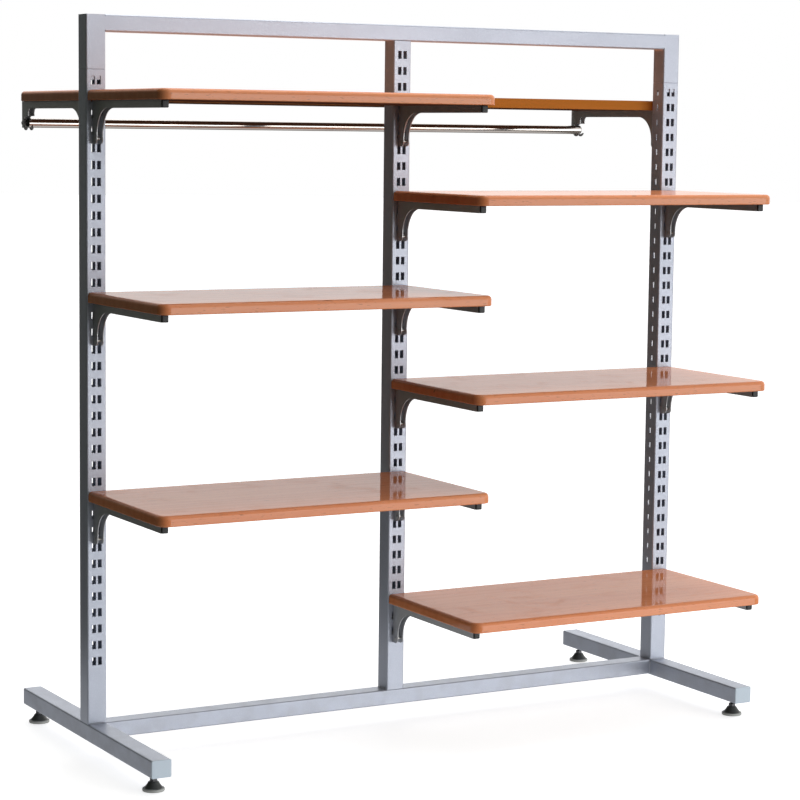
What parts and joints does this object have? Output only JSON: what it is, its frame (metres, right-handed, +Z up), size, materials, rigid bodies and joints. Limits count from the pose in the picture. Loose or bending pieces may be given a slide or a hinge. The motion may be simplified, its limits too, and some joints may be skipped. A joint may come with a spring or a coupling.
{
  "type": "gondola shelving unit",
  "caption": "Free-standing two-bay display rack: slotted square uprights, laminated shelves on hook-in brackets, a rear shelf with a chromed hang rail.",
  "frame": {"origin": "on the floor, under the centre of the middle upright", "axes": "+X along the rack to the right as the shopper sees it, -Y towards the shopper on the side with the staggered shelves, +Z up"},
  "size_m": [1.372, 0.732, 1.434],
  "materials": {
    "frame_paint": "silver-grey powder coat, satin",
    "bracket_paint": "silver-grey powder coat, satin",
    "shelf_laminate": "glossy reddish wood laminate on board",
    "chrome": "polished",
    "black_plastic": "moulded",
    "cap_plastic": "moulded",
    "pad_plastic": "moulded",
    "zinc_steel": "zinc plated"
  },
  "bodies": {
    "frame": {"bottom_beam": "frame_paint", "foot_end_caps": "cap_plastic", "foot_threaded_inserts": "zinc_steel", "header_rail": "frame_paint", "left_foot": "frame_paint", "left_header_leg": "frame_paint", "left_upright": "frame_paint", "middle_upright": "frame_paint", "middle_upright_bolt": "zinc_steel", "middle_upright_insert": "zinc_steel", "right_foot": "frame_paint", "right_header_leg": "frame_paint", "right_upright": "frame_paint"},
    "front_left_levelling_foot": {"front_left_levelling_stud": "zinc_steel", "front_left_levelling_pad": "pad_plastic"},
    "front_right_levelling_foot": {"front_right_levelling_stud": "zinc_steel", "front_right_levelling_pad": "pad_plastic"},
    "rear_left_levelling_foot": {"rear_left_levelling_stud": "zinc_steel", "rear_left_levelling_pad": "pad_plastic"},
    "rear_right_levelling_foot": {"rear_right_levelling_stud": "zinc_steel", "rear_right_levelling_pad": "pad_plastic"},
    "left_lower_shelf": {"left_lower_shelf_board": "shelf_laminate", "left_lower_shelf_left_bracket": "bracket_paint", "left_lower_shelf_right_bracket": "bracket_paint", "left_lower_shelf_end_plugs": "black_plastic", "left_lower_shelf_fasteners": "zinc_steel"},
    "left_middle_shelf": {"left_middle_shelf_board": "shelf_laminate", "left_middle_shelf_left_bracket": "bracket_paint", "left_middle_shelf_right_bracket": "bracket_paint", "left_middle_shelf_end_plugs": "black_plastic", "left_middle_shelf_fasteners": "zinc_steel"},
    "left_upper_shelf": {"left_upper_shelf_board": "shelf_laminate", "left_upper_shelf_left_bracket": "bracket_paint", "left_upper_shelf_right_bracket": "bracket_paint", "left_upper_shelf_end_plugs": "black_plastic", "left_upper_shelf_fasteners": "zinc_steel"},
    "right_lower_shelf": {"right_lower_shelf_board": "shelf_laminate", "right_lower_shelf_left_bracket": "bracket_paint", "right_lower_shelf_right_bracket": "bracket_paint", "right_lower_shelf_end_plugs": "black_plastic", "right_lower_shelf_fasteners": "zinc_steel"},
    "right_middle_shelf": {"right_middle_shelf_board": "shelf_laminate", "right_middle_shelf_left_bracket": "bracket_paint", "right_middle_shelf_right_bracket": "bracket_paint", "right_middle_shelf_end_plugs": "black_plastic", "right_middle_shelf_fasteners": "zinc_steel"},
    "right_upper_shelf": {"right_upper_shelf_board": "shelf_laminate", "right_upper_shelf_left_bracket": "bracket_paint", "right_upper_shelf_right_bracket": "bracket_paint", "right_upper_shelf_end_plugs": "black_plastic", "right_upper_shelf_fasteners": "zinc_steel"},
    "rear_shelf": {"rear_shelf_board": "shelf_laminate", "rear_shelf_left_bracket": "bracket_paint", "rear_shelf_right_bracket": "bracket_paint", "rear_shelf_fasteners": "zinc_steel"},
    "hang_rail_assembly": {"hang_rail": "chrome", "hang_rail_caps": "black_plastic"},
    "left_rail_screw": {"left_retaining_screw": "zinc_steel"},
    "right_rail_screw": {"right_retaining_screw": "zinc_steel"}
  },
  "joints": [
    {"name": "front_left_levelling_foot_screw", "type": "slide", "parent": "frame", "child": "front_left_levelling_foot", "axis": [0, 0, -1], "range_m": [0, 0.012]},
    {"name": "front_right_levelling_foot_screw", "type": "slide", "parent": "frame", "child": "front_right_levelling_foot", "axis": [0, 0, -1], "range_m": [0, 0.012]},
    {"name": "rear_left_levelling_foot_screw", "type": "slide", "parent": "frame", "child": "rear_left_levelling_foot", "axis": [0, 0, -1], "range_m": [0, 0.012]},
    {"name": "rear_right_levelling_foot_screw", "type": "slide", "parent": "frame", "child": "rear_right_levelling_foot", "axis": [0, 0, -1], "range_m": [0, 0.012]},
    {"name": "left_lower_shelf_lift", "type": "slide", "parent": "frame", "child": "left_lower_shelf", "axis": [0, 0, 1], "range_m": [0, 0.007]},
    {"name": "left_middle_shelf_lift", "type": "slide", "parent": "frame", "child": "left_middle_shelf", "axis": [0, 0, 1], "range_m": [0, 0.007]},
    {"name": "left_upper_shelf_lift", "type": "slide", "parent": "frame", "child": "left_upper_shelf", "axis": [0, 0, 1], "range_m": [0, 0.007]},
    {"name": "right_lower_shelf_lift", "type": "slide", "parent": "frame", "child": "right_lower_shelf", "axis": [0, 0, 1], "range_m": [0, 0.007]},
    {"name": "right_middle_shelf_lift", "type": "slide", "parent": "frame", "child": "right_middle_shelf", "axis": [0, 0, 1], "range_m": [0, 0.007]},
    {"name": "right_upper_shelf_lift", "type": "slide", "parent": "frame", "child": "right_upper_shelf", "axis": [0, 0, 1], "range_m": [0, 0.007]},
    {"name": "rear_shelf_lift", "type": "slide", "parent": "frame", "child": "rear_shelf", "axis": [0, 0, 1], "range_m": [0, 0.007]},
    {"name": "hang_rail_lift", "type": "slide", "parent": "rear_shelf", "child": "hang_rail_assembly", "axis": [0, 0, 1], "range_m": [0, 0.004]},
    {"name": "left_rail_screw_turn_out", "type": "slide", "parent": "rear_shelf", "child": "left_rail_screw", "axis": [0, 1, 0], "range_m": [0, 0.005]},
    {"name": "right_rail_screw_turn_out", "type": "slide", "parent": "rear_shelf", "child": "right_rail_screw", "axis": [0, 1, 0], "range_m": [0, 0.005]}
  ]
}
